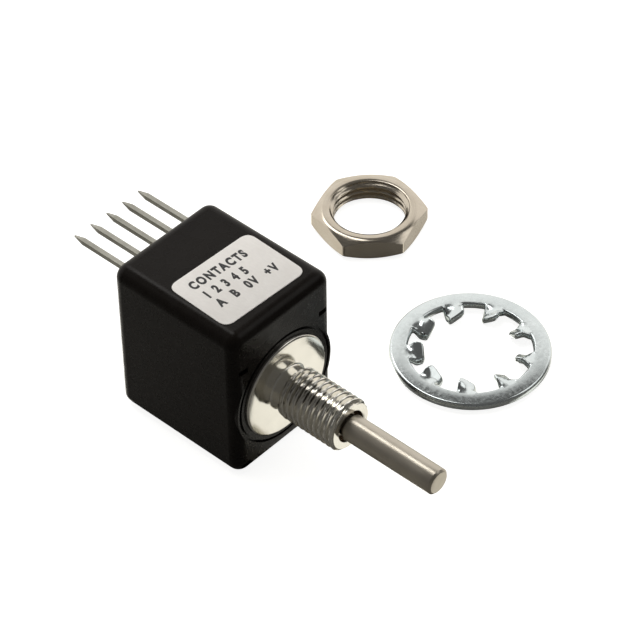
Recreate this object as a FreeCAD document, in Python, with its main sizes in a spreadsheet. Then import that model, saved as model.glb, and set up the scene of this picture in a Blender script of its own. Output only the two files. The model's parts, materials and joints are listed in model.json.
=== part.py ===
import FreeCAD, Part
import os
import re

import Sketcher
from FreeCAD import Rotation, Vector

# A panel-mounted optical rotary encoder with its mounting nut and lock washer.
# Millimetres. The origin is the centre of the mounting face on the shaft's axis.
# The shaft points along -Y, the terminal pins along +Y, and +Z is the label side.

# The driving dimensions: alias, value, meaning. Lengths are in mm and angles in degrees.
DIMENSIONS = [
    ("body_width", 15.8, "housing across X"),
    ("body_top", 11.9, "shaft axis up to the label side"),
    ("body_drop", 9.05, "shaft axis down to the side that it stands on"),
    ("front_face", 0.35, "mounting face back to the housing's front"),
    ("front_wall_end", 2.7, "mounting face back to the front wall's inside"),
    ("seam", 12.4, "mounting face back to the joint between housing and cover"),
    ("back_face", 18.87, "mounting face back to the cover's back"),
    ("wall", 1.2, "wall of the housing and the cover"),
    ("back_wall", 1.4, "back wall of the cover"),
    ("corner_radius", 1.65, "long outer edges"),
    ("rim_radius", 1.35, "outer edges of the front and the back"),
    ("boss_radius", 7.6, "round boss that stands proud of the rounded front edges"),
    ("boss_depth", 1.3, "length of that boss"),
    ("ridge_radius", 7.0, "raised ridge round the bushing's flange"),
    ("groove_radius", 7.35, "outside of the groove round that ridge"),
    ("groove_depth", 0.3, "depth of that groove"),
    ("pocket_across", 6.4, "corner pocket from the middle"),
    ("pocket_up", 6.6, "upper corner pockets above the axis"),
    ("pocket_down", 7.9, "lower corner pockets below the axis"),
    ("pocket_width", 1.3, "corner pocket along X"),
    ("pocket_rise", 0.7, "corner pocket along Z"),
    ("pocket_depth", 0.5, "corner pocket into the front"),
    ("spigot_length", 1.4, "cover's lip inside the housing"),
    ("spigot_wall", 0.6, "wall of that lip"),
    ("spigot_gap", 0.05, "play between that lip and the housing"),
    ("flange_radius", 6.36, "bushing flange seen from the front"),
    ("flange_depth", 1.0, "that flange along Y"),
    ("key_radius", 5.6, "waist of the bushing that the housing is moulded into"),
    ("key_end", 1.7, "mounting face back to the waist's end"),
    ("collar_radius", 6.1, "bushing collar inside the front wall"),
    ("tail_radius", 3.6, "bushing tail inside the housing"),
    ("tail_end", 6.0, "mounting face back to the tail's end"),
    ("barrel_radius", 3.175, "threaded barrel, outside"),
    ("barrel_length", 9.5, "threaded barrel along Y"),
    ("barrel_chamfer", 0.35, "chamfer on the barrel's end"),
    ("nose_bore", 1.95, "hole in the barrel's end, radius"),
    ("nose_length", 1.2, "depth of that hole"),
    ("bearing_bore", 2.4, "bore that holds the sleeve bearings, radius"),
    ("bearing_length", 4.6, "each sleeve bearing along Y"),
    ("running_gap", 0.02, "radial play between shaft and bearings"),
    ("shaft_radius", 1.5875, "shaft outside the bushing"),
    ("relief_start", 9.6, "mounting face out to the shaft's relief groove"),
    ("relief_length", 0.9, "that groove along Y"),
    ("relief_radius", 1.3, "bottom of that groove"),
    ("journal_radius", 1.54, "shaft inside the bushing and the housing"),
    ("shaft_length", 22.225, "mounting face to the shaft's end"),
    ("shaft_chamfer", 0.25, "chamfer on the shaft's end"),
    ("shaft_rear", 12.2, "mounting face back to the shaft's rear end"),
    ("thrust_radius", 3.2, "thrust washer and disc spring, outside"),
    ("thrust_depth", 0.3, "thrust washer along Y"),
    ("thrust_gap", 0.03, "play of the thrust washer behind the tail"),
    ("spring_depth", 0.2, "disc spring's sheet"),
    ("spring_dish", 0.25, "how far the disc spring is dished"),
    ("clip_front", 6.9, "mounting face back to the retaining ring"),
    ("clip_depth", 0.5, "retaining ring along Y"),
    ("clip_radius", 2.9, "retaining ring, outside"),
    ("clip_inner", 1.95, "retaining ring, inside its arms"),
    ("clip_groove", 1.2, "bottom of the shaft's groove for it, radius"),
    ("prong_top", 0.5, "retaining ring's upper prong, half its width"),
    ("prong_side", 0.4, "retaining ring's side prongs, half their width"),
    ("hub_front", 8.9, "mounting face back to the hub"),
    ("hub_rear", 12.0, "mounting face back to the hub's rear"),
    ("hub_radius", 3.0, "hub flange"),
    ("hub_nose", 2.3, "hub spigot that centres the disc, radius"),
    ("disc_front", 10.6, "mounting face back to the code disc"),
    ("disc_depth", 0.2, "code disc's sheet"),
    ("disc_radius", 6.1, "code disc, outside"),
    ("clamp_depth", 0.6, "ring that clamps the disc, along Y"),
    ("slot_count", 100, "slots in the code disc"),
    ("slot_inner", 4.4, "slots' inner end, radius"),
    ("slot_outer", 5.6, "slots' outer end, radius"),
    ("slot_width", 0.157, "width of a slot"),
    ("beam_up", 5.0, "light beam above the axis"),
    ("lamp_radius", 1.5, "emitter, radius"),
    ("lamp_front", 7.2, "mounting face back to the emitter's base"),
    ("lamp_base", 0.5, "emitter's base along Y"),
    ("lens_shoulder", 9.25, "mounting face back to where its lens starts to narrow"),
    ("lens_bend", 9.7, "mounting face back to the bend of the lens"),
    ("lens_bend_radius", 1.2, "lens at that bend, radius"),
    ("lamp_tip", 10.0, "mounting face back to the tip of its lens"),
    ("lens_tip_radius", 0.675, "flat at the tip, radius"),
    ("lead_width", 0.4, "emitter's leads"),
    ("lead_spread", 0.635, "each lead from the middle"),
    ("lead_drop", 0.2, "light beam down to the leads' lower ends"),
    ("holder_half", 2.6, "emitter holder, half its width"),
    ("holder_low", 3.45, "holder's lowest point above the axis"),
    ("holder_bridge", 6.6, "underside of the holder's bridge over the disc"),
    ("holder_top", 8.4, "top of the holder"),
    ("holder_rear", 10.1, "rear of the holder's block"),
    ("mask_front", 11.05, "mounting face back to the mask"),
    ("mask_depth", 0.15, "mask's sheet"),
    ("mask_inset", 0.3, "mask's sides in from the detector's"),
    ("mask_trim", 0.2, "mask's upper and lower edges in from the detector's"),
    ("window_spread", 0.471, "each window of the mask from the middle"),
    ("detector_front", 11.2, "mounting face back to the detector"),
    ("detector_half", 2.5, "detector, half its width"),
    ("detector_low", 3.4, "detector's lower edge above the axis"),
    ("detector_high", 6.5, "detector's upper edge above the axis"),
    ("board_front", 12.6, "mounting face back to the circuit board"),
    ("board_depth", 1.0, "circuit board's thickness"),
    ("board_gap", 0.05, "play between the board and the cover"),
    ("chip_half_width", 2.5, "comparator chip, half its width"),
    ("chip_depth", 1.4, "comparator chip's height off the board"),
    ("chip_down", 2.2, "comparator chip's middle below the axis"),
    ("chip_half_rise", 1.95, "comparator chip, half its height along Z"),
    ("chip_lead_reach", 0.6, "chip's leads out of its case"),
    ("chip_lead_half", 0.2, "chip's leads, half their width"),
    ("chip_lead_depth", 0.3, "chip's leads off the board"),
    ("capacitor_across", 3.6, "capacitor's middle along X"),
    ("capacitor_up", 4.6, "capacitor's middle above the axis"),
    ("capacitor_half_width", 0.6, "capacitor, half its width"),
    ("capacitor_half_rise", 1.0, "capacitor, half its length along Z"),
    ("capacitor_depth", 0.9, "capacitor's height off the board"),
    ("resistor_across", -2.6, "middle resistor along X"),
    ("resistor_pitch", 1.6, "spacing of the resistors"),
    ("resistor_up", 4.4, "resistors' middle above the axis"),
    ("resistor_half_width", 0.4, "resistor, half its width"),
    ("resistor_half_rise", 0.8, "resistor, half its length along Z"),
    ("resistor_depth", 0.45, "resistors' height off the board"),
    ("pin_pitch", 2.54, "spacing of the terminal pins"),
    ("pin_width", 0.6, "square section of a pin"),
    ("pin_up", 9.37, "pin row above the shaft axis"),
    ("pin_end", 27.64, "mounting face back to the pins' points"),
    ("pin_point", 1.4, "length of a pin's point"),
    ("pin_tip_width", 0.14, "flat left at the pin's very end"),
    ("pin_start", 12.2, "mounting face back to the pins' inner ends"),
    ("header_depth", 2.5, "insulator that holds the pins, along Y"),
    ("header_rise", 2.0, "insulator along Z"),
    ("header_end_trim", 0.7, "insulator's ends in from a whole number of pitches"),
    ("header_top_trim", 0.4, "insulator's top in from the middle's even height"),
    ("pin_gap", 0.1, "play round a pin in the cover and the board"),
    ("label_width", 12.35, "label across the housing"),
    ("label_length", 9.2, "label from its front to its rear"),
    ("label_across", -0.13, "label's middle along X"),
    ("label_back", 7.03, "mounting face back to the label's middle"),
    ("label_turn", -2.1, "label turned a little, as it was stuck on"),
    ("label_radius", 1.3, "label's corners"),
    ("label_depth", 0.09, "label's sheet"),
    ("nut_flats", 12.45, "nut across its flats"),
    ("nut_depth", 2.9, "nut's thickness"),
    ("nut_face", 5.9, "radius where the nut's corner chamfer starts"),
    ("nut_bore", 4.41, "nut's thread at its crests, radius"),
    ("nut_sink", 0.5, "countersink at both ends of the nut's thread"),
    ("nut_slope", 30.0, "slope of the corner chamfer"),
    ("nut_across", 33.64, "nut's place along X"),
    ("nut_back", 17.62, "nut's place along Y"),
    ("nut_turn", 15.9, "nut turned about its axis"),
    ("washer_radius", 9.45, "lock washer, outside"),
    ("washer_root", 7.33, "foot of its teeth, radius"),
    ("washer_tip", 5.4, "tip of its teeth, radius"),
    ("washer_depth", 0.95, "lock washer's sheet"),
    ("washer_edge", 0.3, "its rounded upper edge"),
    ("tooth_width", 2.3, "width of a tooth"),
    ("tooth_twist", 30.0, "twist of a tooth"),
    ("tooth_inside", 0.5, "length of a tooth inside the ring"),
    ("tooth_count", 9, "teeth on the lock washer"),
    ("washer_across", 24.31, "lock washer's place along X"),
    ("washer_back", -6.34, "lock washer's place along Y"),
    ("washer_turn", 17.1, "lock washer turned about its axis"),
    ("beyond", 1.0, "how far a cutting outline goes past the nut's faces"),
]
ALIASES = {alias for alias, _, _ in DIMENSIONS}
PIN_COUNT = 5
CHIP_LEADS = 4
FULL_TURN = 360
X_AXIS, Y_AXIS, Z_AXIS = Vector(1, 0, 0), Vector(0, 1, 0), Vector(0, 0, 1)

document = FreeCAD.newDocument("rotary_encoder")
sheet = document.addObject("Spreadsheet::Sheet", "Dimensions")
for row, (alias, value, meaning) in enumerate(DIMENSIONS, start=1):
    sheet.set(f"A{row}", meaning)
    sheet.set(f"B{row}", str(value))
    sheet.setAlias(f"B{row}", alias)
document.recompute()


# ---- expressions -------------------------------------------------------------------------

def bound(text):
    """The expression for FreeCAD: every alias gets the sheet's name in front."""
    return re.sub(r"[a-z_]+", lambda word: f"Dimensions.{word[0]}" if word[0] in ALIASES else word[0], text)


def number(text):
    """What an expression comes to."""
    return float(sheet.evalExpression(bound(text)))


# ---- sketches and features ---------------------------------------------------------------

def new_body(label):
    body = document.addObject("PartDesign::Body", label)
    body.Label = label
    return body


def origin_feature(body, role):
    return next(feature for feature in body.Origin.OriginFeatures if feature.Role == role)


def new_sketch(body, name, role, offset="0"):
    """A sketch on one of the body's own planes, moved along that plane's normal."""
    sketch = body.newObject("Sketcher::SketchObject", name)
    sketch.AttachmentSupport = [(origin_feature(body, role), "")]
    sketch.MapMode = "FlatFace"
    sketch.setExpression("AttachmentOffset.Base.z", bound(offset))
    return sketch


def cross_section(body, name, along):
    """A sketch across the shaft's axis, X to the right and Z up, at a distance behind the face."""
    return new_sketch(body, name, "XZ_Plane", f"-({along})")


def tie(sketch, kind, curve, point, text):
    """Places one point of a curve from the sketch's origin, bound to the sheet."""
    constraint = sketch.addConstraint(Sketcher.Constraint(kind, -1, 1, curve, point, number(text)))
    sketch.setExpression(f"Constraints[{constraint}]", bound(text))


def draw_outline(sketch, corners):
    """A closed outline of straight lines, each corner an (across, up) pair of expressions."""
    spots = [Vector(number(across), number(up), 0) for across, up in corners]
    first = sketch.GeometryCount
    for start, end in zip(spots, spots[1:] + spots[:1]):
        sketch.addGeometry(Part.LineSegment(start, end), False)
    for step, (across, up) in enumerate(corners):
        following = first + (step + 1) % len(corners)
        sketch.addConstraint(Sketcher.Constraint("Coincident", first + step, 2, following, 1))
        tie(sketch, "DistanceX", first + step, 1, across)
        tie(sketch, "DistanceY", first + step, 1, up)


def draw_box(sketch, left, right, low, high):
    draw_outline(sketch, [(left, low), (right, low), (right, high), (left, high)])


def draw_circle(sketch, radius):
    """A circle round the sketch's origin."""
    circle = sketch.addGeometry(Part.Circle(Vector(0, 0, 0), Vector(0, 0, 1), number(radius)), False)
    sketch.addConstraint(Sketcher.Constraint("Coincident", circle, 3, -1, 1))
    constraint = sketch.addConstraint(Sketcher.Constraint("Radius", circle, number(radius)))
    sketch.setExpression(f"Constraints[{constraint}]", bound(radius))


def extrude(body, sketch, length, kind="PartDesign::Pad", reverse=False):
    feature = body.newObject(kind, f"{sketch.Name}_{kind.split('::')[1]}")
    feature.Profile = sketch
    feature.setExpression("Length", bound(length))
    feature.Reversed = reverse
    document.recompute()
    return feature


def pad_back(body, sketch, length):
    """Adds material towards +Y."""
    return extrude(body, sketch, length, reverse=True)


def pocket_back(body, sketch, length):
    """Takes material away towards +Y, and stops if nothing was cut."""
    before = body.Tip.Shape.Volume
    feature = extrude(body, sketch, length, "PartDesign::Pocket")
    if feature.Shape.Volume > before - 1e-6:
        raise RuntimeError(f"{feature.Name} cuts nothing")
    return feature


def spin(body, sketch, kind="PartDesign::Revolution"):
    """Turns a profile of (radius, along) round the sketch's vertical axis."""
    feature = body.newObject(kind, f"{sketch.Name}_{kind.split('::')[1]}")
    feature.Profile = sketch
    feature.ReferenceAxis = (sketch, ["V_Axis"])
    feature.Angle = FULL_TURN
    document.recompute()
    return feature


def soften(body, kind, size, size_property, test):
    """A fillet or chamfer on the edges of the body's tip that pass a test."""
    base = body.Tip
    names = [f"Edge{i}" for i, edge in enumerate(base.Shape.Edges, start=1) if test(edge)]
    if not names:
        raise RuntimeError(f"{body.Label} has no such edge")
    feature = body.newObject(kind, f"{body.Name}_{size_property}_{len(body.Group)}")
    feature.Base = (base, names)
    feature.setExpression(size_property, bound(size))
    document.recompute()
    return feature


def runs_along(edge, axis):
    start, end = edge.Vertexes[0].Point, edge.Vertexes[-1].Point
    run = end - start
    return run.Length > 1e-6 and abs(run.normalize().dot(axis)) > 0.999


def lies_at(edge, axis, place):
    """True if the whole edge lies in the plane at that place along the axis."""
    box = edge.BoundBox
    low = Vector(box.XMin, box.YMin, box.ZMin).dot(axis)
    high = Vector(box.XMax, box.YMax, box.ZMax).dot(axis)
    return abs(low - place) < 1e-3 and abs(high - place) < 1e-3


# ---- primitives --------------------------------------------------------------------------

def block(name, low, high):
    """A box between two corners, each three expressions."""
    box = document.addObject("Part::Box", name)
    for side, size, start, end in zip("xyz", ("Length", "Width", "Height"), low, high):
        box.setExpression(size, bound(f"({end}) - ({start})"))
        box.setExpression(f"Placement.Base.{side}", bound(start))
    return box


def rod(name, radius, start, end, up="0"):
    """A cylinder along Y, above the shaft's axis by up."""
    cylinder = document.addObject("Part::Cylinder", name)
    cylinder.Placement.Rotation = Rotation(X_AXIS, -90)
    cylinder.setExpression("Radius", bound(radius))
    cylinder.setExpression("Height", bound(f"({end}) - ({start})"))
    cylinder.setExpression("Placement.Base.y", bound(start))
    cylinder.setExpression("Placement.Base.z", bound(up))
    return cylinder


def fuse(name, pieces):
    joined = document.addObject("Part::MultiFuse", name)
    joined.Shapes = pieces
    joined.Refine = True
    return joined


def cut(name, base, tools):
    result = document.addObject("Part::Cut", name)
    result.Base = base
    result.Tool = tools[0] if len(tools) == 1 else fuse(f"{name}_tools", tools)
    return result


def labelled(label, thing):
    thing.Label = label
    return thing


def turned(label, profile):
    """A piece turned on a lathe, from its (radius, along) outline."""
    body = new_body(label)
    sketch = new_sketch(body, f"{label}_profile", "XY_Plane")
    draw_outline(sketch, profile)
    spin(body, sketch)
    return body


def sleeve(label, inner, outer, start, end):
    return turned(label, [(inner, start), (outer, start), (outer, end), (inner, end)])


def put_down(body, across, back, up, turn):
    """Moves a piece that was made round the Z axis to its place, and turns it about its own axis."""
    body.setExpression("Placement.Base.x", bound(across))
    body.setExpression("Placement.Base.y", bound(back))
    body.setExpression("Placement.Base.z", bound(up))
    body.Placement.Rotation = Rotation(Z_AXIS, number(turn))
    return body


# ---- housing and cover -------------------------------------------------------------------

HALF_WIDTH = "body_width / 2"
INNER_HALF = "body_width / 2 - wall"


def shell(body, start, end):
    """The solid block of a housing half, with its four long edges rounded."""
    outside = cross_section(body, f"{body.Name}_outside", start)
    draw_box(outside, f"-{HALF_WIDTH}", HALF_WIDTH, "-body_drop", "body_top")
    pad_back(body, outside, f"({end}) - ({start})")
    soften(body, "PartDesign::Fillet", "corner_radius", "Radius", lambda edge: runs_along(edge, Y_AXIS))


def front_housing():
    body = new_body("front_housing")
    shell(body, "front_face", "seam")
    front = number("front_face")
    soften(body, "PartDesign::Fillet", "rim_radius", "Radius", lambda edge: lies_at(edge, Y_AXIS, front))

    boss = cross_section(body, "housing_boss", "front_face")
    draw_circle(boss, "boss_radius")
    pad_back(body, boss, "boss_depth")

    cavity = cross_section(body, "housing_cavity", "front_wall_end")
    draw_box(cavity, f"-({INNER_HALF})", INNER_HALF, "wall - body_drop", "body_top - wall")
    pocket_back(body, cavity, "seam - front_wall_end")

    seat = new_sketch(body, "bushing_seat", "XY_Plane")
    draw_outline(seat, [
        ("0", "0"), ("flange_radius", "0"), ("flange_radius", "flange_depth"),
        ("key_radius", "flange_depth"), ("key_radius", "key_end"),
        ("collar_radius", "key_end"), ("collar_radius", "front_wall_end"), ("0", "front_wall_end"),
    ])
    spin(body, seat, "PartDesign::Groove")

    groove = new_sketch(body, "ridge_groove", "XY_Plane")
    draw_box(groove, "ridge_radius", "groove_radius", "0", "front_face + groove_depth")
    spin(body, groove, "PartDesign::Groove")

    pockets = cross_section(body, "corner_pockets", "0")
    for side in ("-1", "1"):
        for level in ("pocket_up", "-pocket_down"):
            draw_box(
                pockets,
                f"{side} * pocket_across - pocket_width / 2", f"{side} * pocket_across + pocket_width / 2",
                f"{level} - pocket_rise / 2", f"{level} + pocket_rise / 2",
            )
    pocket_back(body, pockets, "front_face + pocket_depth")
    return body


def rear_cover():
    body = new_body("rear_cover")
    shell(body, "seam", "back_face")
    back = number("back_face")
    soften(body, "PartDesign::Fillet", "rim_radius", "Radius", lambda edge: lies_at(edge, Y_AXIS, back))

    lip = cross_section(body, "cover_lip", "seam - spigot_length")
    inset = f"({INNER_HALF} - spigot_gap)"
    draw_box(lip, f"-{inset}", inset, "wall + spigot_gap - body_drop", "body_top - wall - spigot_gap")
    pad_back(body, lip, "spigot_length")

    cavity = cross_section(body, "cover_cavity", "seam - spigot_length")
    inner = f"({INNER_HALF} - spigot_gap - spigot_wall)"
    margin = "wall + spigot_gap + spigot_wall"
    draw_box(cavity, f"-{inner}", inner, f"{margin} - body_drop", f"body_top - ({margin})")
    pocket_back(body, cavity, "back_face - back_wall - seam + spigot_length")

    holes = cross_section(body, "pin_holes", "seam")
    reach = "(pin_width / 2 + pin_gap)"
    for place in pin_places():
        draw_box(holes, f"{place} - {reach}", f"{place} + {reach}", f"pin_up - {reach}", f"pin_up + {reach}")
    pocket_back(body, holes, "back_face - seam")
    return body


def label_plate():
    body = new_body("label")
    outline = new_sketch(body, "label_outline", "XY_Plane")
    draw_box(outline, "-label_width / 2", "label_width / 2", "-label_length / 2", "label_length / 2")
    extrude(body, outline, "label_depth")
    soften(body, "PartDesign::Fillet", "label_radius", "Radius", lambda edge: runs_along(edge, Z_AXIS))
    return put_down(body, "label_across", "label_back", "body_top", "label_turn")


# ---- bushing, bearings and everything that turns -----------------------------------------

def mounting_bushing():
    return turned("mounting_bushing", [
        ("nose_bore", "-barrel_length"), ("barrel_radius - barrel_chamfer", "-barrel_length"),
        ("barrel_radius", "barrel_chamfer - barrel_length"), ("barrel_radius", "0"),
        ("flange_radius", "0"), ("flange_radius", "flange_depth"),
        ("key_radius", "flange_depth"), ("key_radius", "key_end"),
        ("collar_radius", "key_end"), ("collar_radius", "front_wall_end"),
        ("tail_radius", "front_wall_end"), ("tail_radius", "tail_end"),
        ("bearing_bore", "tail_end"), ("bearing_bore", "nose_length - barrel_length"),
        ("nose_bore", "nose_length - barrel_length"),
    ])


def sleeve_bearings():
    inner = "journal_radius + running_gap"
    front = "nose_length - barrel_length"
    return [
        sleeve("front_bearing", inner, "bearing_bore", front, f"{front} + bearing_length"),
        sleeve("rear_bearing", inner, "bearing_bore", "tail_end - bearing_length", "tail_end"),
    ]


def shaft():
    clip_rear = "clip_front + clip_depth"
    relief_end = "relief_length - relief_start"
    return turned("shaft", [
        ("0", "-shaft_length"), ("shaft_radius - shaft_chamfer", "-shaft_length"),
        ("shaft_radius", "shaft_chamfer - shaft_length"), ("shaft_radius", "-relief_start"),
        ("relief_radius", "-relief_start"), ("relief_radius", relief_end),
        ("journal_radius", relief_end), ("journal_radius", "clip_front"),
        ("clip_groove", "clip_front"), ("clip_groove", clip_rear),
        ("journal_radius", clip_rear), ("journal_radius", "shaft_rear"), ("0", "shaft_rear"),
    ])


def thrust_washer():
    start = "tail_end + thrust_gap"
    return sleeve("thrust_washer", "journal_radius", "thrust_radius", start, f"{start} + thrust_depth")


def disc_spring():
    """A dished ring between the thrust washer and the retaining ring."""
    start = "tail_end + thrust_gap + thrust_depth"
    return turned("disc_spring", [
        ("journal_radius", f"{start} + spring_dish"), ("thrust_radius", start),
        ("thrust_radius", f"{start} + spring_depth"),
        ("journal_radius", f"{start} + spring_dish + spring_depth"),
    ])


def retaining_ring():
    """An E-shaped ring: an open band whose three prongs sit in the shaft's groove."""
    clip_rear = "clip_front + clip_depth"
    band = cut("clip_band", rod("clip_outside", "clip_radius", "clip_front", clip_rear), [
        rod("clip_inside", "clip_inner", "clip_front", clip_rear),
        block("clip_mouth", ("-clip_groove", "clip_front", "-clip_radius"), ("clip_groove", clip_rear, "0")),
    ])
    reach = "(clip_radius + clip_inner) / 2"
    prongs = [
        block("clip_top_prong", ("-prong_top", "clip_front", "0"), ("prong_top", clip_rear, reach)),
        block(
            "clip_side_prongs", (f"-({reach})", "clip_front", "-prong_side"),
            (reach, clip_rear, "prong_side"),
        ),
    ]
    return labelled("retaining_ring", cut(
        "retaining_ring", fuse("clip_whole", [band] + prongs),
        [rod("clip_seat", "clip_groove", "clip_front", clip_rear)],
    ))


def disc_hub():
    return turned("disc_hub", [
        ("journal_radius", "hub_front"), ("hub_radius", "hub_front"), ("hub_radius", "disc_front"),
        ("hub_nose", "disc_front"), ("hub_nose", "hub_rear"), ("journal_radius", "hub_rear"),
    ])


def code_disc():
    body = new_body("code_disc")
    face = cross_section(body, "disc_face", "disc_front")
    draw_circle(face, "disc_radius")
    draw_circle(face, "hub_nose")
    pad_back(body, face, "disc_depth")
    slot = cross_section(body, "disc_slot", "disc_front")
    draw_box(slot, "-slot_width / 2", "slot_width / 2", "slot_inner", "slot_outer")
    first = pocket_back(body, slot, "disc_depth")
    pattern = body.newObject("PartDesign::PolarPattern", "disc_slots")
    pattern.Originals = [first]
    pattern.Axis = (origin_feature(body, "Y_Axis"), [""])
    pattern.Angle = FULL_TURN
    pattern.setExpression("Occurrences", bound("slot_count"))
    body.Tip = pattern
    document.recompute()
    return body


def clamp_ring():
    start = "disc_front + disc_depth"
    return sleeve("disc_clamp_ring", "hub_nose", "hub_radius", start, f"{start} + clamp_depth")


# ---- light source and sensor -------------------------------------------------------------

def emitter():
    """A lamp along Y whose two leads pass over the disc to the board."""
    base, top = "lamp_front - lamp_base", "holder_top + lead_width"
    lens = turned("emitter_lens", [
        ("0", base), ("lamp_radius", base), ("lamp_radius", "lens_shoulder"),
        ("lens_bend_radius", "lens_bend"), ("lens_tip_radius", "lamp_tip"), ("0", "lamp_tip"),
    ])
    lens.setExpression("Placement.Base.z", bound("beam_up"))
    pieces = [lens]
    for name, place in (("left", "-lead_spread"), ("right", "lead_spread")):
        near, far, front = f"{place} - lead_width / 2", f"{place} + lead_width / 2", f"{base} - lead_width"
        pieces.append(block(f"{name}_riser", (near, front, "beam_up - lead_drop"), (far, base, top)))
        pieces.append(block(
            f"{name}_run", (near, front, "holder_top"), (far, "board_front + board_depth", top)))
    return labelled("emitter", fuse("emitter", pieces))


def emitter_holder():
    front = "lamp_front - lamp_base"
    body = fuse("holder_blank", [
        block(
            "holder_block", ("-holder_half", front, "holder_low"),
            ("holder_half", "holder_rear", "holder_top"),
        ),
        block(
            "holder_over_disc", ("-holder_half", "holder_rear", "holder_bridge"),
            ("holder_half", "board_front", "holder_top"),
        ),
    ])
    bore = rod("holder_bore", "lamp_radius", front, "holder_rear", "beam_up")
    return labelled("emitter_holder", cut("emitter_holder", body, [bore]))


def mask_plate():
    mask_rear = "mask_front + mask_depth"
    plate = block(
        "mask_sheet", ("mask_inset - detector_half", "mask_front", "detector_low + mask_trim"),
        ("detector_half - mask_inset", mask_rear, "detector_high - mask_trim"),
    )
    windows = [
        block(
            f"mask_window_{i}", (f"{place} - slot_width", "mask_front", "slot_inner"),
            (f"{place} + slot_width", mask_rear, "slot_outer"),
        )
        for i, place in enumerate(("-window_spread", "window_spread"))
    ]
    return labelled("mask_plate", cut("mask_plate", plate, windows))


def detector():
    return labelled("detector", block(
        "detector", ("-detector_half", "detector_front", "detector_low"),
        ("detector_half", "board_front", "detector_high"),
    ))


# ---- board, pins and chips ---------------------------------------------------------------

def pin_places():
    """Each pin's place along X, the middle one on the axis."""
    middle = (PIN_COUNT - 1) / 2
    return [f"{i - middle} * pin_pitch" for i in range(PIN_COUNT)]


def circuit_board():
    rear = "board_front + board_depth"
    inner = f"({INNER_HALF} - spigot_wall - board_gap)"
    low = "wall + spigot_wall + board_gap - body_drop"
    high = "body_top - wall - spigot_wall - board_gap"
    board = block("board_blank", (f"-{inner}", "board_front", low), (inner, rear, high))
    half_pin = "pin_width / 2"
    holes = [
        block(
            f"pin_hole_{i}", (f"{place} - {half_pin}", "board_front", f"pin_up - {half_pin}"),
            (f"{place} + {half_pin}", rear, f"pin_up + {half_pin}"),
        )
        for i, place in enumerate(pin_places())
    ]
    holes += [
        block(
            f"lead_hole_{i}", (f"{place} - lead_width / 2", "board_front", "holder_top"),
            (f"{place} + lead_width / 2", rear, "holder_top + lead_width"),
        )
        for i, place in enumerate(("-lead_spread", "lead_spread"))
    ]
    return labelled("circuit_board", cut("circuit_board", board, holes))


def comparator_chip():
    """A chip on the board's back with a row of leads on each side."""
    start = "board_front + board_depth"
    pieces = [block(
        "chip_case", ("chip_lead_reach - chip_half_width", start, "-chip_down - chip_half_rise"),
        ("chip_half_width - chip_lead_reach", f"{start} + chip_depth", "chip_half_rise - chip_down"),
    )]
    for i in range(CHIP_LEADS):
        level = f"({i - (CHIP_LEADS - 1) / 2} * pin_pitch / 2 - chip_down)"
        pieces.append(block(
            f"chip_lead_{i}", ("-chip_half_width", start, f"{level} - chip_lead_half"),
            ("chip_half_width", f"{start} + chip_lead_depth", f"{level} + chip_lead_half"),
        ))
    return labelled("comparator_chip", fuse("comparator_chip", pieces))


def chip_part(name, kind, across):
    """A two-ended chip part soldered to the board's back; kind is where its sizes are in the sheet."""
    start = "board_front + board_depth"
    return block(
        name, (f"{across} - {kind}_half_width", start, f"{kind}_up - {kind}_half_rise"),
        (f"{across} + {kind}_half_width", f"{start} + {kind}_depth", f"{kind}_up + {kind}_half_rise"),
    )


def passive_parts():
    capacitor = chip_part("decoupling_capacitor", "capacitor", "capacitor_across")
    group = document.addObject("Part::Compound", "chip_resistors")
    group.Links = [
        chip_part(f"chip_resistor_{side}", "resistor", f"resistor_across + {step} * resistor_pitch")
        for side, step in (("left", -1), ("middle", 0), ("right", 1))
    ]
    return [labelled("decoupling_capacitor", capacitor), labelled("chip_resistors", group)]


def pin_header():
    start = "board_front + board_depth"
    end = f"{start} + header_depth"
    span = f"{PIN_COUNT} * pin_pitch / 2"
    case = block(
        "header_blank", (f"header_end_trim - {span}", start, "pin_up - header_rise / 2"),
        (f"{span} - header_end_trim", end, "pin_up + header_rise / 2 - header_top_trim"),
    )
    holes = [
        block(
            f"header_hole_{i}", (f"{place} - pin_width / 2", start, "pin_up - pin_width / 2"),
            (f"{place} + pin_width / 2", end, "pin_up + pin_width / 2"),
        )
        for i, place in enumerate(pin_places())
    ]
    return labelled("pin_header", cut("pin_header", case, holes))


def terminal_pin(order, place):
    """One square pin with a four-sided point."""
    square = block(
        f"pin_square_{order}", (f"{place} - pin_width / 2", "pin_start", "pin_up - pin_width / 2"),
        (f"{place} + pin_width / 2", "pin_end - pin_point", "pin_up + pin_width / 2"),
    )
    point = document.addObject("Part::Wedge", f"pin_point_{order}")
    point.setExpression("Placement.Base.x", bound(place))
    point.setExpression("Placement.Base.y", bound("pin_end - pin_point"))
    point.setExpression("Placement.Base.z", bound("pin_up"))
    point.Ymin = 0
    point.setExpression("Ymax", bound("pin_point"))
    for side in ("X", "Z"):
        point.setExpression(f"{side}min", bound("-pin_width / 2"))
        point.setExpression(f"{side}max", bound("pin_width / 2"))
        point.setExpression(f"{side}2min", bound("-pin_tip_width / 2"))
        point.setExpression(f"{side}2max", bound("pin_tip_width / 2"))
    return labelled(f"terminal_pin_{order}", fuse(f"terminal_pin_{order}", [square, point]))


# ---- mounting hardware lying beside the encoder ------------------------------------------

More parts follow.
